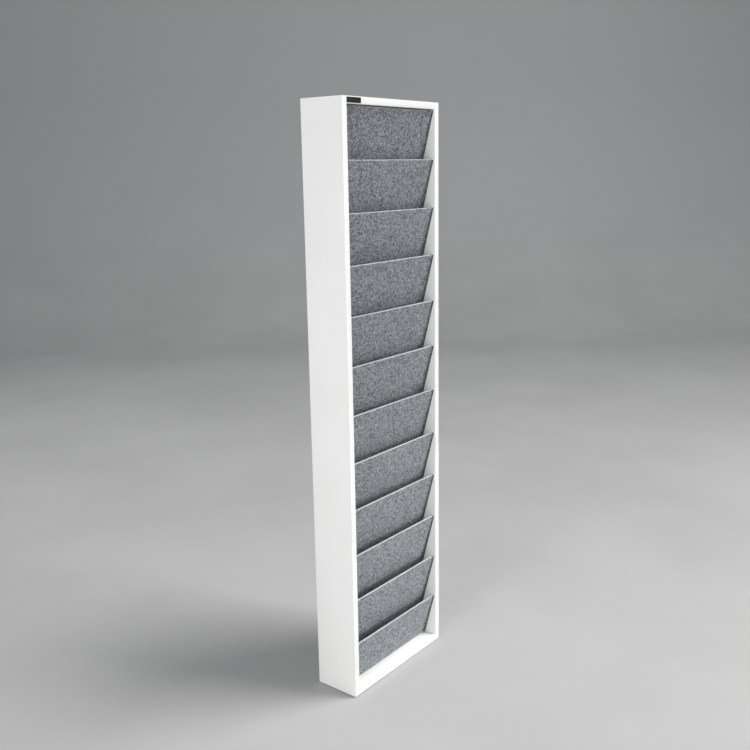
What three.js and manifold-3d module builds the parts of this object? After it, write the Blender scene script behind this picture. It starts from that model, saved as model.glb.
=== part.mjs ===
// Periodical display rack: a tall, shallow case, open at the front, with slanted felts that form pockets.
// Millimetres. The origin lies on the floor under the middle of the case. +Z is up, the open front faces -Y,
// and +X is to the right for someone who stands in front of the rack.

import * as THREE from 'three';
import { mergeVertices } from 'three/addons/utils/BufferGeometryUtils.js';
import Module from 'manifold-3d';

// Case
const WIDTH = 408;
const DEPTH = 134;
const HEIGHT = 1600; // from the floor to the top of the case
const BOARD = 18; // thickness of the sides, the top and the bottom
const ARRIS = 0.8; // chamfer along the edges of the boards

// Back panel, housed in a groove all round
const BACK = 4;
const BACK_INSET = 10; // from the rear edges of the case to the panel

// Felt panels
const FELT = 5;
const TILT = THREE.MathUtils.degToRad(15); // the top edge leans forward
const PITCH = 130; // from one felt's top edge to the next
const SETBACK = 7.5; // from the front of the case to the felts' top edges
const TOP_GAP = 1.5; // between the first felt and the top board
const POCKET_DROP = 160; // from a felt's top edge down to the pocket's floor
const BEND_RADIUS = 3; // inside the fold between front and floor
const LEAST_LAST_FRONT = 110; // the lowest felt stands at least this high above the bottom board
const SLOT_DEPTH = 5; // how far the felts' slots go into the sides
const SLOT_PLAY = 2.7; // room in front of a felt in its slot
const FELT_END_PLAY = 1; // from a felt's end to the bottom of its slot

// Dowels in the corner joints
const DOWEL_RADIUS = 4;
const DOWEL_IN_SIDE = 12;
const DOWEL_IN_BOARD = 18;
const DOWEL_SETBACK = 32; // from the front and rear edges of the case

// Floor glides: a disc on a nail
const GLIDE_HEIGHT = 2;
const GLIDE_MARGIN = 2; // from the disc to the faces of the side
const GLIDE_SETBACK = 12; // from the front and rear edges of the case
const NAIL_RADIUS = 1;
const NAIL_LENGTH = 12;

// Wall hangers let into the rear edges of the sides
const HANGER_LENGTH = 60;
const HANGER_MARGIN = 2; // from the plate to the faces of the side
const HANGER_THICKNESS = 2;
const HANGER_DROP = 75; // from the top of the case to the middle of the plate
const HANGER_SCREW_SPACING = 46;
const KEYHOLE_ENTRY_RADIUS = 4.5;
const KEYHOLE_SLOT_RADIUS = 2.2;
const KEYHOLE_TRAVEL = 9;
const KEYHOLE_RELIEF = 6; // room for a screw head behind the plate
const SCREW_RADIUS = 1.5;
const SCREW_LENGTH = 16;
const SCREW_HEAD_RADIUS = 3;
const SCREW_HEAD_HEIGHT = 1.5;
const SCREW_RECESS_RADIUS = 1.4;
const SCREW_RECESS_DEPTH = 1.2;

// Label plate on the front edge of the top board
const LABEL_LENGTH = 54;
const LABEL_MARGIN = 2.25; // from the plate to the faces of the top board
const LABEL_THICKNESS = 0.6;

// Fits
const SEAT_GAP = 0.3; // between a piece and the recess that holds it
const GLUE_LINE = 0.1; // between flat faces that meet
const OVERSHOOT = 1; // how far a cutter reaches past the face that it opens
const ROUND_SEGMENTS = 16;
const BEND_SEGMENTS = 3;

// Planes of the case
const front = -DEPTH / 2;
const rear = DEPTH / 2;
const outer = WIDTH / 2;
const inner = outer - BOARD;
const base = GLIDE_HEIGHT; // underside of the boards
const floorTop = base + BOARD; // upper face of the bottom board
const ceiling = HEIGHT - BOARD; // underside of the top board
const midBoard = outer - BOARD / 2;
const housing = BOARD / 3; // the back panel's groove goes a third of the way into a board
const backRear = rear - BACK_INSET;
const backFront = backRear - BACK;

// Felt rows, from the top down
const sine = Math.sin(TILT);
const cosine = Math.cos(TILT);
const feltEdge = front + SETBACK;
const firstEdge = ceiling - TOP_GAP - FELT * sine;
const feltCount = 1 + Math.floor((firstEdge - floorTop - LEAST_LAST_FRONT) / PITCH);
const feltEdges = Array.from({ length: feltCount }, (_, row) => firstEdge - row * PITCH);
const lastRow = feltCount - 1;

const wasm = await Module();
wasm.setup();

function toSolid(geometry) {
  const bare = geometry.clone();
  bare.deleteAttribute('normal');
  bare.deleteAttribute('uv');
  const merged = mergeVertices(bare);
  const vertProperties = Float32Array.from(merged.attributes.position.array);
  const triVerts = Uint32Array.from(merged.index.array);
  return new wasm.Manifold(new wasm.Mesh({ numProp: 3, vertProperties, triVerts }));
}

function toGeometry(solid) {
  const { vertProperties, triVerts } = solid.getMesh();
  const geometry = new THREE.BufferGeometry();
  geometry.setAttribute('position', new THREE.BufferAttribute(vertProperties, 3));
  geometry.setIndex(new THREE.BufferAttribute(triVerts, 1));
  geometry.computeVertexNormals();
  return geometry;
}

function cut(geometry, cutters) {
  const carved = cutters.reduce((solid, cutter) => solid.subtract(toSolid(cutter)), toSolid(geometry));
  return toGeometry(carved);
}

function box([x0, x1], [y0, y1], [z0, z1]) {
  const geometry = new THREE.BoxGeometry(x1 - x0, y1 - y0, z1 - z0);
  return geometry.translate((x0 + x1) / 2, (y0 + y1) / 2, (z0 + z1) / 2);
}

// A shape drawn in the Y-Z plane and carried along X from x0 to x1. A bevel keeps within the shape.
function acrossWidth(shape, [x0, x1], bevel = 0) {
  const geometry = new THREE.ExtrudeGeometry(shape, {
    depth: x1 - x0 - 2 * bevel,
    curveSegments: BEND_SEGMENTS,
    bevelEnabled: bevel > 0,
    bevelThickness: bevel,
    bevelSize: bevel,
    bevelOffset: -bevel,
    bevelSegments: 1,
  });
  const axes = new THREE.Matrix4().makeBasis(
    new THREE.Vector3(0, 1, 0),
    new THREE.Vector3(0, 0, 1),
    new THREE.Vector3(1, 0, 0),
  );
  return geometry.applyMatrix4(axes).translate(x0 + bevel, 0, 0);
}

function polygon(points) {
  return new THREE.Shape(points.map(([y, z]) => new THREE.Vector2(y, z)));
}

function rectangle([y0, y1], [z0, z1]) {
  return polygon([[y0, z0], [y1, z0], [y1, z1], [y0, z1]]);
}

function chamferedRectangle([y0, y1], [z0, z1], size) {
  return polygon([
    [y0 + size, z0], [y1 - size, z0], [y1, z0 + size], [y1, z1 - size],
    [y1 - size, z1], [y0 + size, z1], [y0, z1 - size], [y0, z0 + size],
  ]);
}

function rodAlongX(radius, [x0, x1], y, z) {
  const rod = new THREE.CylinderGeometry(radius, radius, x1 - x0, ROUND_SEGMENTS);
  return rod.rotateZ(Math.PI / 2).translate((x0 + x1) / 2, y, z);
}

function rodAlongY(radius, x, [y0, y1], z) {
  return new THREE.CylinderGeometry(radius, radius, y1 - y0, ROUND_SEGMENTS).translate(x, (y0 + y1) / 2, z);
}

function rodAlongZ(radius, x, y, [z0, z1]) {
  const rod = new THREE.CylinderGeometry(radius, radius, z1 - z0, ROUND_SEGMENTS);
  return rod.rotateX(Math.PI / 2).translate(x, y, (z0 + z1) / 2);
}

function lathe(profile) {
  return new THREE.LatheGeometry(profile.map(([r, h]) => new THREE.Vector2(r, h)), ROUND_SEGMENTS);
}

// A point beside a felt's top front edge: across goes back through the felt, along goes down its front face.
function besideEdge(across, along) {
  return [across * cosine + along * sine, across * sine - along * cosine];
}

// The same kind of point, given by its height instead of the way down the face.
function besideEdgeAt(across, height) {
  return besideEdge(across, (across * sine - height) / cosine);
}

// Sections of the felts and their slots, with the felt's top front edge at the origin of the Y-Z plane.
const floorHeight = -POCKET_DROP;
const undersideHeight = floorHeight - FELT;
const floorEnd = backFront - SEAT_GAP - feltEdge;
const slotFront = -SLOT_PLAY;
const slotRear = FELT + SEAT_GAP;

function foldedFeltSection() {
  const bendHeight = floorHeight + BEND_RADIUS;
  const [bendY] = besideEdgeAt(FELT + BEND_RADIUS, bendHeight);
  const faceAngle = Math.PI + TILT;
  const downAngle = Math.PI * 1.5;
  const section = new THREE.Shape();
  section.moveTo(...besideEdge(FELT, 0));
  section.lineTo(...besideEdge(0, 0));
  section.absarc(bendY, bendHeight, BEND_RADIUS + FELT, faceAngle, downAngle, false);
  section.lineTo(floorEnd, undersideHeight);
  section.lineTo(floorEnd, floorHeight);
  section.absarc(bendY, bendHeight, BEND_RADIUS, downAngle, faceAngle, true);
  return section;
}

function straightFeltSection(footHeight) {
  return polygon([
    besideEdge(FELT, 0),
    besideEdge(0, 0),
    besideEdgeAt(0, footHeight),
    besideEdgeAt(FELT, footHeight),
  ]);
}

// The slots follow the felts, with room in front of the slanted face and above the floor.
function straightSlotSection(footHeight) {
  return polygon([
    besideEdge(slotRear, -SEAT_GAP),
    besideEdge(slotFront, -SEAT_GAP),
    besideEdgeAt(slotFront, footHeight),
    besideEdgeAt(slotRear, footHeight),
  ]);
}

function foldedSlotSection() {
  const footHeight = undersideHeight - SEAT_GAP;
  const roofHeight = footHeight + slotRear - slotFront;
  const slotEnd = backFront - feltEdge;
  return polygon([
    besideEdge(slotRear, -SEAT_GAP),
    besideEdge(slotFront, -SEAT_GAP),
    besideEdgeAt(slotFront, footHeight),
    [slotEnd, footHeight],
    [slotEnd, roofHeight],
    besideEdgeAt(slotRear, roofHeight),
  ]);
}

const lastFootHeight = floorTop - feltEdges[lastRow];
const feltReach = inner + SLOT_DEPTH - FELT_END_PLAY;

function feltGeometry(row) {
  const section = row < lastRow ? foldedFeltSection() : straightFeltSection(lastFootHeight + SEAT_GAP);
  return acrossWidth(section, [-feltReach, feltReach]);
}

function slotCutter(row, span) {
  const section = row < lastRow ? foldedSlotSection() : straightSlotSection(lastFootHeight);
  return acrossWidth(section, span);
}

// Places that are worked out once and used by the boards and by what they hold.
const dowelPlaces = [
  { level: 'top', z: ceiling + BOARD / 2 },
  { level: 'bottom', z: base + BOARD / 2 },
].flatMap(({ level, z }) => [
  { name: `${level}_front`, y: front + DOWEL_SETBACK, z },
  { name: `${level}_back`, y: rear - DOWEL_SETBACK, z },
]);
const glidePlaces = [
  { name: 'front', y: front + GLIDE_SETBACK },
  { name: 'back', y: rear - GLIDE_SETBACK },
];
const hangerHeight = HEIGHT - HANGER_DROP;
const screwPlaces = [
  { name: 'upper', z: hangerHeight + HANGER_SCREW_SPACING / 2 },
  { name: 'lower', z: hangerHeight - HANGER_SCREW_SPACING / 2 },
];
const hangerWidth = BOARD - 2 * HANGER_MARGIN;
const hangerRear = rear - SEAT_GAP;
const hangerFront = hangerRear - HANGER_THICKNESS;
const hands = [
  { name: 'left', sign: -1 },
  { name: 'right', sign: 1 },
];

// Spans along X on the left are those of the right, turned round.
function onHand(sign, [x0, x1]) {
  return sign > 0 ? [x0, x1] : [-x1, -x0];
}

function sideGeometry(sign) {
  const outline = rectangle([front, rear], [base, HEIGHT]);
  const x = sign * midBoard;
  const slotSpan = onHand(sign, [inner - OVERSHOOT, inner + SLOT_DEPTH]);
  const grooveSpan = onHand(sign, [inner - OVERSHOOT, inner + housing]);
  const dowelSpan = onHand(sign, [inner - OVERSHOOT, inner + DOWEL_IN_SIDE + SEAT_GAP]);
  const hangerSpan = onHand(sign, [
    midBoard - hangerWidth / 2 - SEAT_GAP,
    midBoard + hangerWidth / 2 + SEAT_GAP,
  ]);
  const hangerEnd = HANGER_LENGTH / 2 + SEAT_GAP;
  const reliefRadius = KEYHOLE_ENTRY_RADIUS + SEAT_GAP;
  const reliefSpan = onHand(sign, [midBoard - reliefRadius, midBoard + reliefRadius]);
  const reliefEnd = KEYHOLE_TRAVEL / 2 + reliefRadius;
  const hangerSeat = hangerFront - SEAT_GAP;
  return cut(acrossWidth(outline, onHand(sign, [inner, outer]), ARRIS), [
    ...feltEdges.map((edge, row) => slotCutter(row, slotSpan).translate(0, feltEdge, edge)),
    box(grooveSpan, [backFront - SEAT_GAP, backRear + SEAT_GAP], [floorTop - housing, ceiling + housing]),
    ...dowelPlaces.map(({ y, z }) => rodAlongX(DOWEL_RADIUS + SEAT_GAP, dowelSpan, y, z)),
    ...glidePlaces.map(({ y }) =>
      rodAlongZ(NAIL_RADIUS + SEAT_GAP, x, y, [base - OVERSHOOT, base + NAIL_LENGTH + SEAT_GAP]),
    ),
    box(hangerSpan, [hangerSeat, rear + OVERSHOOT], [hangerHeight - hangerEnd, hangerHeight + hangerEnd]),
    box(
      reliefSpan,
      [hangerSeat - KEYHOLE_RELIEF, hangerFront],
      [hangerHeight - reliefEnd, hangerHeight + reliefEnd],
    ),
    ...screwPlaces.map(({ z }) =>
      rodAlongY(SCREW_RADIUS + SEAT_GAP, x, [hangerRear - SCREW_LENGTH - SEAT_GAP, hangerFront], z),
    ),
  ]);
}

// The top and bottom boards: grooved for the back panel on their inner faces, bored for dowels in their ends.
function crossBoardGeometry(z0, grooveHeights, level) {
  const span = [-inner + GLUE_LINE, inner - GLUE_LINE];
  const section = chamferedRectangle([front, rear], [z0, z0 + BOARD], ARRIS);
  const bores = dowelPlaces.filter(({ name }) => name.startsWith(level)).flatMap(({ y, z }) =>
    hands.map(({ sign }) => {
      const bore = onHand(sign, [inner - DOWEL_IN_BOARD - SEAT_GAP, inner + OVERSHOOT]);
      return rodAlongX(DOWEL_RADIUS + SEAT_GAP, bore, y, z);
    }),
  );
  const groove = box(
    [-inner - OVERSHOOT, inner + OVERSHOOT],
    [backFront - SEAT_GAP, backRear + SEAT_GAP],
    grooveHeights,
  );
  return cut(acrossWidth(section, span), [groove, ...bores]);
}

function backGeometry() {
  const reach = housing - SEAT_GAP;
  return box([-inner - reach, inner + reach], [backFront, backRear], [floorTop - reach, ceiling + reach]);
}

function dowelGeometry(sign) {
  return rodAlongX(DOWEL_RADIUS, onHand(sign, [-DOWEL_IN_BOARD, DOWEL_IN_SIDE]), 0, 0);
}

function glideGeometry() {
  const discRadius = BOARD / 2 - GLIDE_MARGIN;
  const discTop = GLIDE_HEIGHT - GLUE_LINE;
  const profile = [
    [0, 0],
    [discRadius - discTop / 2, 0],
    [discRadius, discTop / 2],
    [discRadius, discTop],
    [NAIL_RADIUS, discTop],
    [NAIL_RADIUS, base + NAIL_LENGTH - 2 * NAIL_RADIUS],
    [0, base + NAIL_LENGTH],
  ];
  return lathe(profile).rotateX(Math.PI / 2);
}

// The plate lies in the X-Z plane with its rear face at y = 0. The keyhole's slot rises from its round entry.
function hangerGeometry() {
  const plate = box(
    [-hangerWidth / 2, hangerWidth / 2],
    [-HANGER_THICKNESS, 0],
    [-HANGER_LENGTH / 2, HANGER_LENGTH / 2],
  );
  const through = [-HANGER_THICKNESS - OVERSHOOT, OVERSHOOT];
  const entryZ = -KEYHOLE_TRAVEL / 2;
  const slotZ = KEYHOLE_TRAVEL / 2;
  const countersinks = screwPlaces.map(({ z }) => {
    const mouth = SCREW_HEAD_RADIUS + SEAT_GAP;
    const throat = SCREW_RADIUS + SEAT_GAP;
    const cone = new THREE.CylinderGeometry(mouth, throat, SCREW_HEAD_HEIGHT, ROUND_SEGMENTS);
    return cone.translate(0, -SCREW_HEAD_HEIGHT / 2, z - hangerHeight);
  });
  const bores = screwPlaces.map(({ z }) => rodAlongY(SCREW_RADIUS + SEAT_GAP, 0, through, z - hangerHeight));
  return cut(plate, [
    rodAlongY(KEYHOLE_ENTRY_RADIUS, 0, through, entryZ),
    rodAlongY(KEYHOLE_SLOT_RADIUS, 0, through, slotZ),
    box([-KEYHOLE_SLOT_RADIUS, KEYHOLE_SLOT_RADIUS], through, [entryZ, slotZ]),
    ...countersinks,
    ...bores,
  ]);
}

// A countersunk screw that points forward along -Y, with the rim of its head at y = 0.
function screwGeometry() {
  const shank = SCREW_LENGTH - SCREW_HEAD_HEIGHT;
  return lathe([
    [0, -SCREW_LENGTH],
    [SCREW_RADIUS, -shank],
    [SCREW_RADIUS, -SCREW_HEAD_HEIGHT],
    [SCREW_HEAD_RADIUS, 0],
    [SCREW_RECESS_RADIUS, 0],
    [0, -SCREW_RECESS_DEPTH],
  ]);
}

function labelGeometry() {
  return box(
    [0, LABEL_LENGTH],
    [-LABEL_THICKNESS, 0],
    [-BOARD / 2 + LABEL_MARGIN, BOARD / 2 - LABEL_MARGIN],
  );
}

function finish(color, roughness, metalness = 0) {
  return () => new THREE.MeshStandardMaterial({ color, roughness, metalness });
}

const whiteLacquer = finish(0xf1f1ee, 0.35);
const whiteBack = finish(0xe6e6e2, 0.5);
const greyFelt = finish(0x83868a, 0.95);
const beech = finish(0xd3b48a, 0.7);
const palePlastic = finish(0xc9c9c4, 0.5);
const zincSteel = finish(0xb9bcbf, 0.35, 0.9);
const blackPlate = finish(0x111112, 0.3);

const rack = new THREE.Group();
const carcass = new THREE.Group();
const felts = new THREE.Group();
const fittings = new THREE.Group();
rack.add(carcass, felts, fittings);

function place(group, name, geometry, material, position = [0, 0, 0]) {
  const mesh = new THREE.Mesh(geometry, material());
  mesh.name = name;
  mesh.position.set(...position);
  group.add(mesh);
}

for (const { name, sign } of hands) {
  place(carcass, `side_${name}`, sideGeometry(sign), whiteLacquer);
}
const topGroove = [ceiling - OVERSHOOT, ceiling + housing];
const bottomGroove = [floorTop - housing, floorTop + OVERSHOOT];
place(carcass, 'top_board', crossBoardGeometry(ceiling, topGroove, 'top'), whiteLacquer);
place(carcass, 'bottom_board', crossBoardGeometry(base, bottomGroove, 'bottom'), whiteLacquer);
place(carcass, 'back_panel', backGeometry(), whiteBack);

feltEdges.forEach((edge, row) => {
  const number = String(row + 1).padStart(2, '0');
  place(felts, `felt_panel_${number}`, feltGeometry(row), greyFelt, [0, feltEdge, edge]);
});

for (const { name, sign } of hands) {
  for (const dowel of dowelPlaces) {
    const position = [sign * inner, dowel.y, dowel.z];
    place(fittings, `dowel_${name}_${dowel.name}`, dowelGeometry(sign), beech, position);
  }
  for (const glide of glidePlaces) {
    const position = [sign * midBoard, glide.y, 0];
    place(fittings, `glide_${name}_${glide.name}`, glideGeometry(), palePlastic, position);
  }
  place(fittings, `hanger_${name}`, hangerGeometry(), zincSteel, [sign * midBoard, hangerRear, hangerHeight]);
  for (const screw of screwPlaces) {
    const position = [sign * midBoard, hangerRear, screw.z];
    place(fittings, `hanger_screw_${name}_${screw.name}`, screwGeometry(), zincSteel, position);
  }
}
place(fittings, 'label_plate', labelGeometry(), blackPlate, [-inner, front - GLUE_LINE, ceiling + BOARD / 2]);

export default rack;
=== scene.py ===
# %% [markdown]
# # A periodical display rack
# The rack is a tall, shallow case of white lacquered board with slanted grey felts in it. Each felt
# makes the front of a pocket for magazines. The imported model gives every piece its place, so this
# lesson only asks it where things are and then models them again with soft edges and real finishes.

# %% Load the frame
import math

import bpy
from mathutils import Matrix, Vector


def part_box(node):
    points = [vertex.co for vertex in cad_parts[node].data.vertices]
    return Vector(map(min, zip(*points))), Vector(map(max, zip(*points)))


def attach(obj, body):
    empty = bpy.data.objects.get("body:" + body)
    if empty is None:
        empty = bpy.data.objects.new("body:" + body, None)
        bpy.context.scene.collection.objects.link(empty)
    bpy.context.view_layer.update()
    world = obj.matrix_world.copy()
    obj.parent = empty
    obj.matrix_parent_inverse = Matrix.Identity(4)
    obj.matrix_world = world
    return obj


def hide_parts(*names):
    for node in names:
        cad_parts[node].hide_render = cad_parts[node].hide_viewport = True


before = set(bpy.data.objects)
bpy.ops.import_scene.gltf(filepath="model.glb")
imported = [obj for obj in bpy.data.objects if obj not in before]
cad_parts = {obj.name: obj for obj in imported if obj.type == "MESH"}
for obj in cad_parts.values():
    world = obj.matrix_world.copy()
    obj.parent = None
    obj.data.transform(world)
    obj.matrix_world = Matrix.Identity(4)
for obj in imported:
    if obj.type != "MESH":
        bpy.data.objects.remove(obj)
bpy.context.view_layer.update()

MM = 0.001
FELTS = sorted(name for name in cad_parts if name.startswith("felt_panel"))
print("pieces in the frame:", len(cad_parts), "of which felts:", len(FELTS))

# %% [markdown]
# ## Small helpers for modelling
# An operator works on whatever is selected, and the frame arrives selected. So each helper first clears
# the selection and then picks exactly one piece. A block is a cube that is given two corners, because
# that is how the frame describes a node.


# %% Helpers: select, block, modifiers
def clear_selection():
    if bpy.context.mode != "OBJECT":
        bpy.ops.object.mode_set(mode="OBJECT")
    bpy.ops.object.select_all(action="DESELECT")


def take(piece):
    clear_selection()
    piece.select_set(True)
    bpy.context.view_layer.objects.active = piece


def settle(name):
    """Names the piece that was just added and moves its place into its mesh."""
    piece = bpy.context.active_object
    piece.name = piece.data.name = name
    bpy.ops.object.transform_apply(location=True, rotation=True, scale=True)
    return piece


def block(name, low, high, turn=(0, 0, 0)):
    clear_selection()
    middle = [(a + b) / 2 for a, b in zip(low, high)]
    size = [b - a for a, b in zip(low, high)]
    bpy.ops.mesh.primitive_cube_add(size=1, location=middle, rotation=turn, scale=size)
    return settle(name)


def rod(name, radius, ends, sides=32):
    """A cylinder between two points on a line along one axis."""
    clear_selection()
    start, end = Vector(ends[0]), Vector(ends[1])
    turn = (end - start).to_track_quat("Z", "Y").to_euler()
    bpy.ops.mesh.primitive_cylinder_add(
        vertices=sides, radius=radius, depth=(end - start).length, location=(start + end) / 2, rotation=turn
    )
    return settle(name)


def modify(piece, kind, **settings):
    """Adds a modifier and applies it at once, so that the mesh itself has the shape."""
    take(piece)
    modifier = piece.modifiers.new(kind.title(), kind)
    for name, value in settings.items():
        setattr(modifier, name, value)
    bpy.ops.object.modifier_apply(modifier=modifier.name)


def unpick(piece, kind):
    """Deselects the whole mesh of a piece, so that the next choice is made by edge or by face."""
    take(piece)
    bpy.ops.object.mode_set(mode="EDIT")
    bpy.ops.mesh.select_mode(type=kind)
    bpy.ops.mesh.select_all(action="DESELECT")
    bpy.ops.object.mode_set(mode="OBJECT")


def pick_edges(piece, wanted):
    """Leaves the piece in edit mode with the edges selected whose two ends pass the test."""
    unpick(piece, "EDGE")
    corners = piece.data.vertices
    for edge in piece.data.edges:
        edge.select = wanted(*(corners[i].co for i in edge.vertices))
    bpy.ops.object.mode_set(mode="EDIT")


def round_edges(piece, radius, wanted, segments=3):
    pick_edges(piece, wanted)
    bpy.ops.mesh.bevel(offset=radius, segments=segments, affect="EDGES")
    bpy.ops.object.mode_set(mode="OBJECT")


def smooth(piece, degrees=35):
    take(piece)
    bpy.ops.object.shade_smooth_by_angle(angle=math.radians(degrees))


def dress(piece, material, node_name):
    """Gives a piece its finish, hides the node of the frame that it stands for, and hangs the piece on the
    root body.
    """
    piece.data.materials.clear()
    piece.data.materials.append(material)
    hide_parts(node_name)
    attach(piece, "root")


def join(name, pieces):
    clear_selection()
    for piece in pieces:
        piece.select_set(True)
    bpy.context.view_layer.objects.active = pieces[0]
    bpy.ops.object.join()
    pieces[0].name = pieces[0].data.name = name
    return pieces[0]


# %% [markdown]
# ## The camera
# The photo was taken from the front left, a little below the top of the rack. The place, the turn and
# the lens come from lining up the corners of the case. The camera also leans by about a degree, so its
# axes are built from the three angles and put into its matrix.

# %% Camera
LENS = 43.38
EYE = Vector((-1.9183, -1.5111, 1.4287))
YAW, DOWN, LEAN = (math.radians(a) for a in (51.632, 12.874, -0.960))

ahead = Vector((math.sin(YAW) * math.cos(DOWN), math.cos(YAW) * math.cos(DOWN), -math.sin(DOWN)))
level_right = Vector((math.cos(YAW), -math.sin(YAW), 0))
level_up = level_right.cross(ahead)
right = math.cos(LEAN) * level_right + math.sin(LEAN) * level_up
up = math.cos(LEAN) * level_up - math.sin(LEAN) * level_right

clear_selection()
bpy.ops.object.camera_add(location=EYE)
camera = bpy.context.active_object
camera.data.lens = LENS
turn = Matrix((right, up, -ahead)).transposed().to_4x4()
camera.matrix_world = Matrix.Translation(EYE) @ turn
bpy.context.scene.camera = camera
bpy.context.scene.view_settings.view_transform = "Standard"
print("camera height", round(EYE.z, 3), "lens", LENS)

# %% [markdown]
# ## Floor, backdrop and light
# The rack stands on a plain pale floor that sweeps up into a backdrop. A sweep is one plane whose far
# edge is extruded upwards and whose fold is then bevelled round, so no line shows behind the rack. The
# light is soft. A key lamp hangs high on the right, wide lamps fill from the front and the left, and a
# weak one lights the rear. A narrow beam from low down reaches the last felts, and the world adds an
# even grey all round.

# %% Sweep
FLOOR_HALF = 7.0
BACKDROP_HEIGHT = 5.0
SWEEP_RADIUS = 2.2
SOFT_ANGLE = 60

clear_selection()
bpy.ops.mesh.primitive_plane_add(size=2 * FLOOR_HALF, rotation=(0, 0, -YAW))
sweep = settle("floor_sweep")
far = max(v.co.dot(ahead) for v in sweep.data.vertices) - 10 * MM
pick_edges(sweep, lambda a, b: min(a.dot(ahead), b.dot(ahead)) > far)
bpy.ops.mesh.extrude_region_move(TRANSFORM_OT_translate={"value": (0, 0, BACKDROP_HEIGHT)})
bpy.ops.object.mode_set(mode="OBJECT")
round_edges(
    sweep, SWEEP_RADIUS, lambda a, b: a.z == b.z == 0 and min(a.dot(ahead), b.dot(ahead)) > far, segments=24
)
smooth(sweep, SOFT_ANGLE)
print("floor reaches", round(far, 2), "m behind the rack")


# %% Lights
def soft_lamp(name, place, aim, size, power, spread=180):
    """A round lamp. The spread is the angle of its beam in degrees."""
    clear_selection()
    direction = Vector(aim) - Vector(place)
    turn = direction.to_track_quat("-Z", "Y").to_euler()
    bpy.ops.object.light_add(type="AREA", location=place, rotation=turn)
    lamp = bpy.context.active_object
    lamp.name = name
    lamp.data.shape = "DISK"
    lamp.data.size = size
    lamp.data.energy = power
    lamp.data.spread = math.radians(spread)
    lamp.visible_camera = False


soft_lamp("key_lamp", place=(1.7, -1.9, 6.0), aim=(0, -0.2, 0.3), size=2.2, power=322)
soft_lamp("front_lamp", place=(1.9, -3.9, 1.7), aim=(0, 0, 0.6), size=2.4, power=61)
soft_lamp("low_lamp", place=(1.5, -4.2, 0.8), aim=(0, 0, 0.1), size=0.8, power=2.2, spread=28)
soft_lamp("left_lamp", place=(-4.2, -0.6, 1.4), aim=(0, 0, 0.8), size=1.8, power=104)
soft_lamp("back_lamp", place=(-0.5, 4.2, 2.6), aim=(0, 0, 0.8), size=2.4, power=24)

EVEN_GREY, EVEN_STRENGTH = (0.93, 0.96, 1.0), 0.3
world = bpy.data.worlds.new("even grey")
bpy.context.scene.world = world
world.use_nodes = True
sky = world.node_tree.nodes["Background"]
sky.inputs["Color"].default_value = (*EVEN_GREY, 1)
sky.inputs["Strength"].default_value = EVEN_STRENGTH

# %% [markdown]
# ## Shader maths
# A finish is easier to read as a formula than as a row of node calls. One small class holds a socket.
# Adding or multiplying two of them puts a Math node into the material, and `node` adds any other node
# by its type.

# %% The signal class
# The Mix node has sockets for numbers, vectors and colours. These are the ones for colours.
MIX_FACTOR, MIX_LOW, MIX_HIGH, MIX_RESULT = 0, 6, 7, 2


class Signal:
    """A value on its way through the nodes of one material."""

    def __init__(self, tree, socket=None):
        self.tree = tree
        self.socket = socket

    def node(self, kind, settings=None, sockets=None, output=0):
        made = self.tree.nodes.new(kind)
        for name, value in (settings or {}).items():
            setattr(made, name, value)
        for name, value in (sockets or {}).items():
            self.feed(made.inputs[name], value)
        return Signal(self.tree, made.outputs[output])

    def feed(self, socket, value):
        if isinstance(value, Signal):
            self.tree.links.new(value.socket, socket)
        else:
            socket.default_value = value

    def maths(self, operation, a, b=0.0):
        return self.node("ShaderNodeMath", {"operation": operation}, {0: a, 1: b})

    def __add__(self, other):
        return self.maths("ADD", self, other)

    def __sub__(self, other):
        return self.maths("SUBTRACT", self, other)

    def __rsub__(self, other):
        return self.maths("SUBTRACT", other, self)

    def __mul__(self, other):
        return self.maths("MULTIPLY", self, other)

    __radd__ = __add__
    __rmul__ = __mul__

    def between(self, low, high):
        """0 below low, 1 above high and a soft step between them."""
        settings = {"interpolation_type": "SMOOTHSTEP"}
        sockets = {"Value": self, "From Min": low, "From Max": high}
        return self.node("ShaderNodeMapRange", settings, sockets)

    def blend(self, low, high):
        """A colour that goes from low to high as this value goes from 0 to 1."""
        settings = {"data_type": "RGBA"}
        low = low if isinstance(low, Signal) else (*low, 1)
        high = high if isinstance(high, Signal) else (*high, 1)
        sockets = {MIX_FACTOR: self, MIX_LOW: low, MIX_HIGH: high}
        return self.node("ShaderNodeMix", settings, sockets, output=MIX_RESULT)


def finish(name, recipe, **constants):
    """A Principled material. The recipe gets the piece's own coordinates and returns what varies."""
    material = bpy.data.materials.new(name)
    material.use_nodes = True
    tree = material.node_tree
    shader = tree.nodes["Principled BSDF"]
    start = Signal(tree)
    place = start.node("ShaderNodeTexCoord", output="Object")
    for socket, value in constants.items():
        shader.inputs[socket.replace("_", " ")].default_value = value
    for socket, value in recipe(place).items():
        start.feed(shader.inputs[socket], value)
    return material


def noise(place, per_metre, detail=2.0, roughness=0.5, distortion=0.0):
    sockets = {
        "Vector": place,
        "Scale": per_metre,
        "Detail": detail,
        "Roughness": roughness,
        "Distortion": distortion,
    }
    return place.node("ShaderNodeTexNoise", {}, sockets)


def stretched(place, turn, size):
    """The same coordinates, turned first and then measured in streaks of this size in metres."""
    return place.node(
        "ShaderNodeMapping", {"vector_type": "TEXTURE"}, {"Vector": place, "Rotation": turn, "Scale": size}
    )


def height(place, amount, depth):
    """Bump from a value: depth is in metres for a value that goes from 0 to 1."""
    return place.node("ShaderNodeBump", {}, {"Height": amount, "Distance": depth, "Strength": 1.0})
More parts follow.
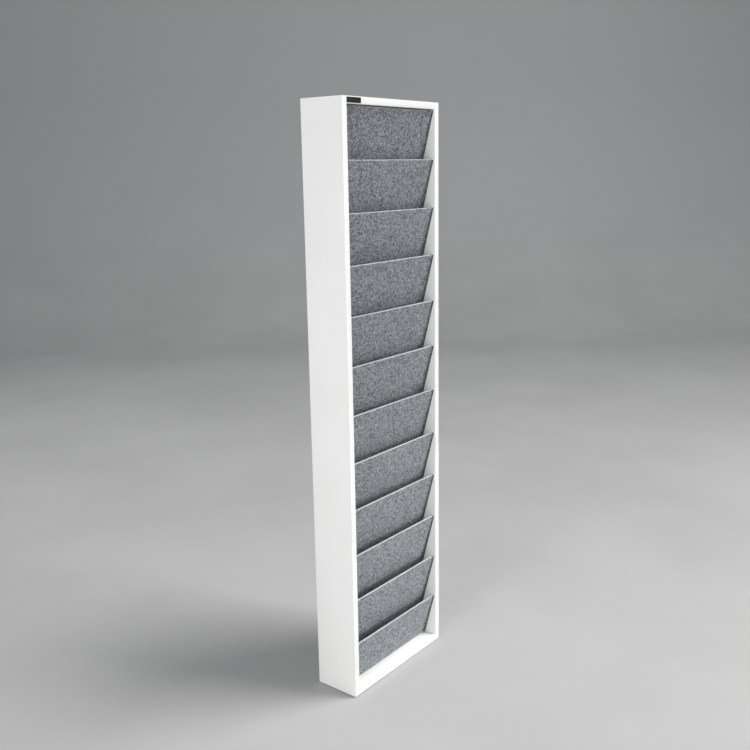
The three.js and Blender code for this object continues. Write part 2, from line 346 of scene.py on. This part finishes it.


# %% [markdown]
# ## White lacquer
# The boards are sprayed white. Sprayed lacquer is satin, not glossy: it has a very fine orange peel
# that breaks up reflections, it is a touch uneven in gloss, and near the floor it carries faint grey
# scuffs. All of that is noise at different sizes, so no picture is needed. Inside the slots the board is
# bare, and it is painted much darker than bare board, as painted shade deep in the slot. Those faces
# carry an attribute, which the recipe reads.

# %% White lacquer
SHADED_WHITE, CLEAR_WHITE = (0.826, 0.826, 0.806), (0.84, 0.84, 0.824)
SCUFF_GREY = (0.5, 0.49, 0.47)
# Bare board inside the slots, painted dark enough to stand in for the shade in the slot as well.
BARE_BOARD_AND_SHADE = (0.13, 0.12, 0.108)
SCUFF_LOW, SCUFF_HIGH = 4 * MM, 160 * MM
SCUFF = (40 * MM, 40 * MM, 5 * MM)


def lacquer(place):
    peel = noise(place, 520, detail=2)
    cloud = noise(place, 4.5, detail=3)
    height_above_floor = place.node("ShaderNodeSeparateXYZ", {}, {"Vector": place}, output="Z")
    low_down = 1 - height_above_floor.between(SCUFF_LOW, SCUFF_HIGH)
    streaks = noise(stretched(place, (0, 0, 0.3), SCUFF), 1, detail=4, roughness=0.6)
    scuffs = streaks.between(0.56, 0.7) * low_down
    # Slot faces: bare board colour, darkened as painted shade in the slot.
    bare_and_shade = place.node("ShaderNodeAttribute", {"attribute_name": "bare_board_and_shade"}, output="Fac")
    clean = cloud.between(0.25, 0.75).blend(SHADED_WHITE, CLEAR_WHITE)
    sprayed = (scuffs * 0.12).blend(clean, SCUFF_GREY)
    return {
        "Base Color": bare_and_shade.blend(sprayed, BARE_BOARD_AND_SHADE),
        "Roughness": 0.3 + 0.12 * cloud + 0.1 * scuffs + 0.4 * bare_and_shade,
        "Normal": height(place, peel, 0.03 * MM),
    }


white_lacquer = finish("white_lacquer", lacquer, Specular_IOR_Level=0.45)
print("finish:", white_lacquer.name)

# %% [markdown]
# ## Pressed felt
# Pressed felt is a mat of short fibres in a few shades of grey. From a step away it looks mottled, and
# close by single fibres show as pale and dark streaks that run every way. The recipe lays soft blotches
# first, then fine grain, then pale and dark tufts and still finer fibres, each set turned to its own
# direction. The cut along the top of a felt is paler, partly for its fibre ends and partly as a painted
# highlight from the light above, and an attribute says which faces those are. The top felt's cut lies in
# shade under the top board and is left unmarked, as painted shade.

# %% Felt
TUFT = (8.8 * MM, 3.0 * MM, 3.0 * MM)
FIBRE = (5.5 * MM, 2.0 * MM, 0.7 * MM)
DARK_FELT, PALE_FELT = (0.04, 0.044, 0.05), (0.35, 0.372, 0.4)
# Pale colour of the cut top edge: fibre ends plus a painted highlight from the light above.
CUT_FELT_HIGHLIGHT, CUT_HIGHLIGHT_SHARE = (0.52, 0.535, 0.555), 0.75


def strands(place, turn, size):
    """Short bent streaks in one direction: size is their length, depth and width in metres."""
    lane = stretched(place, (0.15, turn, 0.1), size)
    return noise(lane, 1, detail=2, roughness=0.6, distortion=0.9)


def felt(place):
    # Mask of the cut top edge, which gets fibre-end paleness and a painted highlight.
    cut_highlight = place.node("ShaderNodeAttribute", {"attribute_name": "cut_edge_highlight"}, output="Fac")
    blotch = noise(place, 45, detail=2).between(0.3, 0.7)
    grain = noise(place, 420, detail=3, roughness=0.7).between(0.25, 0.75)
    pale_tufts = strands(place, 0.3, TUFT).between(0.44, 0.64) + strands(place, 1.3, TUFT).between(0.48, 0.68)
    dark_tufts = strands(place, 2.0, TUFT).between(0.44, 0.64) + strands(place, 2.9, TUFT).between(0.48, 0.68)
    pale = strands(place, 0.6, FIBRE).between(0.56, 0.72) + strands(place, 1.6, FIBRE).between(0.58, 0.74)
    dark = strands(place, 2.5, FIBRE).between(0.56, 0.72)
    tufted = 0.42 + 0.08 * blotch + 0.2 * grain + 0.62 * pale_tufts - 0.62 * dark_tufts
    tone = tufted + 0.2 * pale - 0.2 * dark
    relief = 0.5 * grain + 0.35 * pale + 0.3 * pale_tufts
    mottled = tone.blend(DARK_FELT, PALE_FELT)
    return {
        "Base Color": (cut_highlight * CUT_HIGHLIGHT_SHARE).blend(mottled, CUT_FELT_HIGHLIGHT),
        "Roughness": 0.86 + 0.1 * grain,
        "Normal": height(place, relief, 0.5 * MM),
    }


grey_felt = finish("grey_felt", felt, Specular_IOR_Level=0.2, Sheen_Weight=0.25, Sheen_Roughness=0.5)
print("finish:", grey_felt.name)

# %% [markdown]
# ## Finishes for the small pieces
# The back panel is thin white-faced board, a little greyer than the lacquer. The label plate is satin
# black. The hangers and screws are zinc plated, the glides are pale plastic, and the dowels are beech
# with grain along them.

# %% Small finishes
BRUSHED_LABEL = (16 * MM, 1.0 * MM, 0.4 * MM)
BRUSHED_ZINC = (0.5 * MM, 2.5 * MM, 16 * MM)
WOOD_GRAIN = (25 * MM, 1.1 * MM, 1.1 * MM)


def thin_board(place):
    speck = noise(place, 900, detail=2)
    cloud = noise(place, 7, detail=4)
    return {
        "Base Color": cloud.blend((0.74, 0.74, 0.72), (0.8, 0.8, 0.785)),
        "Roughness": 0.45 + 0.15 * speck,
        "Normal": height(place, speck, 0.04 * MM),
    }


def black_plate(place):
    grain = noise(stretched(place, (0, 0, 0), BRUSHED_LABEL), 1, detail=3)
    return {
        "Base Color": grain.blend((0.006, 0.006, 0.007), (0.011, 0.011, 0.012)),
        "Roughness": 0.5 + 0.12 * grain,
        "Normal": height(place, grain, 0.01 * MM),
    }


def zinc(place):
    spangle = noise(place, 260, detail=3, roughness=0.6)
    brush = noise(stretched(place, (0, 0, 0), BRUSHED_ZINC), 1, detail=2)
    return {
        "Base Color": spangle.between(0.3, 0.7).blend((0.52, 0.53, 0.55), (0.68, 0.69, 0.7)),
        "Roughness": 0.26 + 0.2 * brush,
        "Normal": height(place, brush, 0.02 * MM),
    }


def pale_plastic(place):
    grain = noise(place, 1400, detail=2)
    return {
        "Base Color": grain.blend((0.52, 0.52, 0.5), (0.6, 0.6, 0.58)),
        "Roughness": 0.42 + 0.15 * grain,
        "Normal": height(place, grain, 0.03 * MM),
    }


def beech(place):
    grain = noise(stretched(place, (0, 0, 0), WOOD_GRAIN), 1, detail=4, roughness=0.6)
    return {
        "Base Color": grain.between(0.3, 0.7).blend((0.48, 0.3, 0.15), (0.68, 0.48, 0.28)),
        "Roughness": 0.6 + 0.15 * grain,
        "Normal": height(place, grain, 0.1 * MM),
    }


def floor_paint(place):
    cloud = noise(place, 1.3, detail=5, roughness=0.6).between(0.3, 0.7)
    level = place.node("ShaderNodeSeparateXYZ", {}, {"Vector": place}, output="Z").between(0.1, 2.0)
    floor = cloud.blend((0.4, 0.4, 0.395), (0.43, 0.43, 0.425))
    return {
        "Base Color": level.blend(floor, (0.41, 0.413, 0.415)),
        "Roughness": 0.6 + 0.1 * cloud,
    }


white_back = finish("white_back", thin_board)
blank_label = finish("blank_label", black_plate, Specular_IOR_Level=0.25)
zinc_plate = finish("zinc_plate", zinc, Metallic=0.95)
glide_plastic = finish("glide_plastic", pale_plastic)
dowel_beech = finish("dowel_beech", beech)
pale_floor = finish("pale_floor", floor_paint)
sweep.data.materials.append(pale_floor)

NODE_FINISHES = {"dowel": dowel_beech, "glide": glide_plastic}
for node_name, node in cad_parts.items():
    for start_of_name, material in NODE_FINISHES.items():
        if node_name.startswith(start_of_name):
            node.data.materials.clear()
            node.data.materials.append(material)
print("finishes:", sorted(m.name for m in bpy.data.materials if m.users))

# %% [markdown]
# ## The boards of the case
# A board is a block with softly rounded arrises. The two sides also have the slanted slots that hold
# the felts, a groove for the back panel, bores for the dowels and nails, and a shallow recess for each
# wall hanger. The sides could be drawn as outlines, but a joiner cuts these shapes into a plain board,
# so here cutters are taken away from a block with the Boolean modifier. Every cutter runs right across
# the rack and cuts both sides at once.

# %% Sizes that the boards share
TILT = math.radians(15)
FELT = 5 * MM
SLOT_PLAY = 2.7 * MM
SEAT_GAP = 0.3 * MM
SLOT_DEPTH = 5 * MM
ARRIS = 1.0 * MM
BACK_ARRIS = 0.4 * MM
MERGE = 0.01 * MM

side_low, side_high = (Vector(corner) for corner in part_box("side_right"))
inner_face = side_low.x
thickness = side_high.x - side_low.x
back_low, back_high = (Vector(corner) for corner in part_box("back_panel"))
up_slope = Vector((0, -math.sin(TILT), math.cos(TILT)))
through_felt = Vector((0, math.cos(TILT), math.sin(TILT)))


def felt_edge(node_name):
    """The middle of a felt's top front edge."""
    low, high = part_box(node_name)
    return Vector((0, low[1], high[2] - FELT * math.sin(TILT)))


print("inner width", round(2 * inner_face / MM, 1), "mm, board", round(thickness / MM, 1), "mm")


# %% Cutters for the felt slots
def slot_cutters(node_name):
    low, high = (Vector(corner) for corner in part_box(node_name))
    edge = felt_edge(node_name)
    reach = inner_face + SLOT_DEPTH
    width = FELT + SLOT_PLAY + SEAT_GAP
    foot = low.z - SEAT_GAP
    run = (edge.z - foot) / math.cos(TILT)
    middle = edge + through_felt * ((FELT + SEAT_GAP - SLOT_PLAY) / 2) + up_slope * ((SEAT_GAP - run) / 2)
    half = Vector((reach, width / 2, (run + SEAT_GAP) / 2))
    slanted = block("slot", middle - half, middle + half, turn=(TILT, 0, 0))
    if node_name == FELTS[-1]:
        return [slanted]
    corner = edge.y + (edge.z - foot) * math.tan(TILT)
    level = block("slot", (-reach, corner, foot), (reach, back_low.y, foot + width))
    return [slanted, level]


slots = [cutter for name in FELTS for cutter in slot_cutters(name)]
print("slot cutters:", len(slots))

# %% Cutters for the groove, the bores and the hanger recesses
groove = block(
    "groove",
    (back_low.x - SEAT_GAP, back_low.y - SEAT_GAP, back_low.z - SEAT_GAP),
    (back_high.x + SEAT_GAP, back_high.y + SEAT_GAP, back_high.z + SEAT_GAP),
)


def bore(node_name, axis, radius):
    """A round cutter along one axis of a node that leaves a small gap round it."""
    low, high = (Vector(corner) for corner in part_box(node_name))
    start, end = (low + high) / 2, (low + high) / 2
    start[axis], end[axis] = low[axis] - SEAT_GAP, high[axis] + SEAT_GAP
    return rod("bore", radius + SEAT_GAP, (start, end))


HEAD_ROOM = Vector((4.8, 8, 9.3)) * MM


def recess(node_name):
    """A flat cutter for a hanger plate, and a deeper one for the screw head behind its keyhole."""
    low, high = (Vector(corner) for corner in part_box(node_name))
    gap = Vector((SEAT_GAP, SEAT_GAP, SEAT_GAP))
    plate = block("recess", low - gap, high + gap + Vector((0, ARRIS, 0)))
    middle = (low + high) / 2
    head_room = block("relief", middle - HEAD_ROOM, middle + Vector((HEAD_ROOM.x, 0, HEAD_ROOM.z)))
    return [plate, head_room]


ALONG_X, ALONG_Y, ALONG_Z = range(3)
DOWEL_RADIUS, SCREW_RADIUS, NAIL_RADIUS = 4.0 * MM, 1.5 * MM, 1.0 * MM
names = list(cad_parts)
screws = [name for name in names if name.startswith("hanger_screw")]
bores = [bore(name, ALONG_X, DOWEL_RADIUS) for name in names if name.startswith("dowel")]
bores += [bore(name, ALONG_Y, SCREW_RADIUS) for name in screws]
bores += [bore(name, ALONG_Z, NAIL_RADIUS) for name in names if name.startswith("glide")]
recesses = [c for name in ("hanger_left", "hanger_right") for c in recess(name)]
cutter_all = join("cutter_all", slots + [groove] + bores + recesses)
print("cutter faces:", len(cutter_all.data.polygons))


# %% The four boards and the back
def board(node_name, wanted):
    """A rounded block with everything cut out, and with the points welded that the cuts leave too close."""
    piece = block(node_name.replace("side", "case_side").replace("board", "of_case"), *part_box(node_name))
    round_edges(piece, ARRIS, wanted)
    modify(piece, "BOOLEAN", object=cutter_all, operation="DIFFERENCE", solver="EXACT", use_self=True)
    modify(piece, "WELD", merge_threshold=MERGE)
    smooth(piece)
    dress(piece, white_lacquer, node_name)
    print(piece.name, "faces:", len(piece.data.polygons))
    return piece


RIM_BAND = 1.5 * MM
SKIN = 0.1 * MM


def mark_bare_board_and_shade(piece):
    """Notes the faces inside the slots, which are cut after the boards are sprayed. They get a dark colour
    that is bare board and painted shade in the slot together.
    """
    band = Vector((RIM_BAND, RIM_BAND, RIM_BAND))
    low = Vector(piece.bound_box[0]) + band
    high = Vector(piece.bound_box[6]) - band
    marks = piece.data.attributes.new("bare_board_and_shade", "FLOAT", "FACE")
    for face, mark in zip(piece.data.polygons, marks.data):
        depth = abs(face.center.x) - inner_face
        in_face = low.y < face.center.y < high.y and low.z < face.center.z < high.z
        mark.value = float(in_face and SKIN < depth < SLOT_DEPTH + MM)


def any_edge(a, b):
    return True


def long_edge(a, b):
    return abs(a.x - b.x) > inner_face


for node_name in ("side_left", "side_right"):
    mark_bare_board_and_shade(board(node_name, any_edge))
for node_name in ("top_board", "bottom_board"):
    board(node_name, long_edge)
bpy.data.objects.remove(cutter_all)

back = block("thin_back", back_low, back_high)
round_edges(back, BACK_ARRIS, any_edge, segments=2)
smooth(back)
dress(back, white_back, "back_panel")

# %% [markdown]
# ## The felts
# Each felt is cut from a flat sheet, and all but the last are folded once: a slanted front, a soft bend,
# and a floor that runs back to the back panel. The last felt is the slanted front alone. It starts as a
# fine grid in the slanted plane. The lower edge is spun round the fold and then extruded back, so the
# sheet stays one surface. Solidify gives it its thickness, a small bevel rounds the cut edges, and a
# slight displacement keeps the face from being dead flat, as pressed felt is.

# %% The sheet of one felt
BEND_RADIUS = 3 * MM
BEND_STEPS = 8
GRID = 4 * MM
EDGE_ROUND = 0.5 * MM
WAVES = 0.35 * MM
CUT_HIGHLIGHT_BAND = 0.7 * MM
unevenness = bpy.data.textures.new("felt unevenness", "CLOUDS")
unevenness.noise_scale = 18 * MM
unevenness.noise_depth = 2


def felt_sheet(node_name):
    low, high = (Vector(corner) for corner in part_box(node_name))
    edge = felt_edge(node_name)
    folded = node_name != FELTS[-1]
    outer_radius = BEND_RADIUS + FELT
    bend_z = low.z + outer_radius
    bend_y = edge.y + outer_radius / math.cos(TILT) + (edge.z - bend_z) * math.tan(TILT)
    face_end = (edge.z - low.z) / math.cos(TILT)
    if folded:
        face_end = (edge.z - (bend_z - outer_radius * math.sin(TILT))) / math.cos(TILT)
    width = high.x - low.x
    clear_selection()
    bpy.ops.mesh.primitive_grid_add(
        x_subdivisions=round(width / GRID),
        y_subdivisions=round(face_end / GRID),
        size=1,
        location=edge - up_slope * (face_end / 2),
        rotation=(math.pi / 2 + TILT, 0, 0),
    )
    bpy.context.active_object.scale = (width, face_end, 1)
    piece = settle(node_name.replace("panel", "sheet"))
    length = face_end
    if folded:
        lowest = min(v.co.z for v in piece.data.vertices) + SKIN
        turn = math.pi / 2 - TILT
        pick_edges(piece, lambda a, b: max(a.z, b.z) < lowest)
        bpy.ops.mesh.spin(steps=BEND_STEPS, angle=-turn, center=(0, bend_y, bend_z), axis=(1, 0, 0))
        bpy.ops.mesh.extrude_region_move(TRANSFORM_OT_translate={"value": (0, high.y - bend_y, 0)})
        length += turn * (BEND_RADIUS + FELT / 2) + high.y - bend_y
    return piece, length


def thicken(piece):
    take(piece)
    bpy.ops.object.mode_set(mode="EDIT")
    bpy.ops.mesh.select_all(action="SELECT")
    bpy.ops.mesh.remove_doubles(threshold=MERGE)
    bpy.ops.mesh.normals_make_consistent(inside=False)
    bpy.ops.object.mode_set(mode="OBJECT")
    if piece.data.polygons[0].normal.y > 0:
        piece.data.flip_normals()
    modify(piece, "SOLIDIFY", thickness=FELT, offset=-1, use_even_offset=True)
    sharp = math.radians(SOFT_ANGLE)
    modify(piece, "BEVEL", width=EDGE_ROUND, segments=2, limit_method="ANGLE", angle_limit=sharp)
    modify(piece, "DISPLACE", texture=unevenness, strength=WAVES, mid_level=0.5)
    smooth(piece, SOFT_ANGLE)


def mark_cut_edge_highlight(piece, node_name):
    """Notes on each face whether it belongs to the cut along the top, where pale fibre ends show and a
    painted highlight from the light above is laid. The top felt is left unmarked, as painted shade under the
    top board.
    """
    # The top felt's cut edge is left dark: painted shade under the top board.
    if node_name == FELTS[0]:
        return
    edge = felt_edge(node_name)
    marks = piece.data.attributes.new("cut_edge_highlight", "FLOAT", "FACE")
    for face, mark in zip(piece.data.polygons, marks.data):
        mark.value = float((edge - face.center).dot(up_slope) < CUT_HIGHLIGHT_BAND)


# %% Twelve felts
for node_name in FELTS:
    piece, length = felt_sheet(node_name)
    thicken(piece)
    mark_cut_edge_highlight(piece, node_name)
    dress(piece, grey_felt, node_name)
    low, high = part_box(node_name)
    print(piece.name, "flat", round((high[0] - low[0]) / MM, 1), "x", round(length / MM, 1), "mm")

# %% [markdown]
# ## The label plate
# A small black plate sits on the front edge of the top board. It is left blank. A block would look like
# a chip of paint, so its corners are rounded first and its rim is then softened.

# %% Label plate
CORNER_RADIUS = 1.2 * MM
RIM = 0.2 * MM
label = block("blank_label_plate", *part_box("label_plate"))
round_edges(label, CORNER_RADIUS, lambda a, b: a.x == b.x and a.z == b.z, segments=6)
label_front = min(v.co.y for v in label.data.vertices)
round_edges(label, RIM, lambda a, b: a.y == b.y == label_front, segments=2)
smooth(label)
dress(label, blank_label, "label_plate")
print("label", [round(v / MM, 1) for v in label.dimensions])

# %% [markdown]
# ## The wall hangers
# A keyhole plate is let into the rear edge of each side. It is stamped from sheet, so its corners are
# round and its rim is soft. A wall screw's head goes through the round entry, and the rack then drops
# until the screw sits in the narrow slot above it. The entry, the slot and the two countersinks are cut
# from the plate.

# %% Hanger plates
PLATE_CORNER = 2.5 * MM
PLATE_RIM = 0.3 * MM
ENTRY_RADIUS, SLOT_RADIUS, TRAVEL = 4.5 * MM, 2.2 * MM, 9 * MM
HEAD_RADIUS, HEAD_HEIGHT = 3.0 * MM, 1.5 * MM


def cone(name, wide, narrow, place, depth):
    """A cone along Y whose wide end faces the rear at the given place."""
    clear_selection()
    bpy.ops.mesh.primitive_cone_add(
        vertices=32,
        radius1=wide,
        radius2=narrow,
        depth=depth,
        location=Vector(place) - Vector((0, depth / 2, 0)),
        rotation=(math.pi / 2, 0, 0),
    )
    return settle(name)


def hanger(node_name):
    low, high = (Vector(corner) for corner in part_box(node_name))
    piece = block(node_name + "_plate", low, high)
    round_edges(piece, PLATE_CORNER, lambda a, b: a.x == b.x and a.z == b.z, segments=6)
    rear = max(v.co.y for v in piece.data.vertices)
    round_edges(piece, PLATE_RIM, lambda a, b: a.y == b.y == rear, segments=2)
    x, z = (low.x + high.x) / 2, (low.z + high.z) / 2
    front, behind = low.y - MM, high.y + MM
    entry = rod("entry", ENTRY_RADIUS, ((x, front, z - TRAVEL / 2), (x, behind, z - TRAVEL / 2)))
    slot = rod("slot", SLOT_RADIUS, ((x, front, z + TRAVEL / 2), (x, behind, z + TRAVEL / 2)))
    neck = block("neck", (x - SLOT_RADIUS, front, z - TRAVEL / 2), (x + SLOT_RADIUS, behind, z + TRAVEL / 2))
    cutters = [entry, slot, neck]
    for screw in (name for name in screws if name.startswith(node_name.replace("_", "_screw_"))):
        screw_low, screw_high = (Vector(corner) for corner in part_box(screw))
        seat = Vector((x, high.y, (screw_low.z + screw_high.z) / 2))
        cutters.append(cone("seat", HEAD_RADIUS + SEAT_GAP, SCREW_RADIUS + SEAT_GAP, seat, HEAD_HEIGHT))
        cutters.append(bore(screw, ALONG_Y, SCREW_RADIUS))
    holes = join("holes", cutters)
    modify(piece, "BOOLEAN", object=holes, operation="DIFFERENCE", solver="EXACT", use_self=True)
    bpy.data.objects.remove(holes)
    return piece


for node_name in ("hanger_left", "hanger_right"):
    piece = hanger(node_name)
    smooth(piece)
    dress(piece, zinc_plate, node_name)
    print(piece.name, "faces:", len(piece.data.polygons))

# %% [markdown]
# Each plate is held by two countersunk screws. A screw starts as its cone-shaped head. The small face
# is extruded twice for the shank and the tip, and two thin blocks cut the cross for the driver.

# %% Hanger screws
TIP_LENGTH = 2 * MM
TIP_SHARE = 0.15
CROSS_LENGTH, CROSS_WIDTH, CROSS_DEPTH = 3.4 * MM, 0.7 * MM, 0.9 * MM


def countersunk_screw(node_name):
    low, high = (Vector(corner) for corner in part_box(node_name))
    x, z = (low.x + high.x) / 2, (low.z + high.z) / 2
    piece = cone(node_name + "_cross", HEAD_RADIUS, SCREW_RADIUS, (x, high.y, z), HEAD_HEIGHT)
    neck = high.y - HEAD_HEIGHT
    unpick(piece, "FACE")
    for face in piece.data.polygons:
        face.select = face.normal.y < -0.9
    bpy.ops.object.mode_set(mode="EDIT")
    bpy.ops.mesh.extrude_region_move(TRANSFORM_OT_translate={"value": (0, low.y + TIP_LENGTH - neck, 0)})
    bpy.ops.mesh.extrude_region_move(TRANSFORM_OT_translate={"value": (0, -TIP_LENGTH, 0)})
    bpy.ops.transform.resize(value=(TIP_SHARE, 1, TIP_SHARE), center_override=(x, low.y, z))
    bpy.ops.object.mode_set(mode="OBJECT")
    half, thin = CROSS_LENGTH / 2, CROSS_WIDTH / 2
    floor, above = high.y - CROSS_DEPTH, high.y + MM
    level = block("cross", (x - half, floor, z - thin), (x + half, above, z + thin))
    upright = block("cross", (x - thin, floor, z - half), (x + thin, above, z + half))
    for cutter in (level, upright):
        modify(piece, "BOOLEAN", object=cutter, operation="DIFFERENCE", solver="EXACT")
        bpy.data.objects.remove(cutter)
    return piece


for node_name in screws:
    piece = countersunk_screw(node_name)
    smooth(piece)
    dress(piece, zinc_plate, node_name)
    print(piece.name, "size", [round(v / MM, 1) for v in piece.dimensions])

# %% [markdown]
# ## The last step
# At the end nothing is left selected.

# %% Clear the selection
clear_selection()
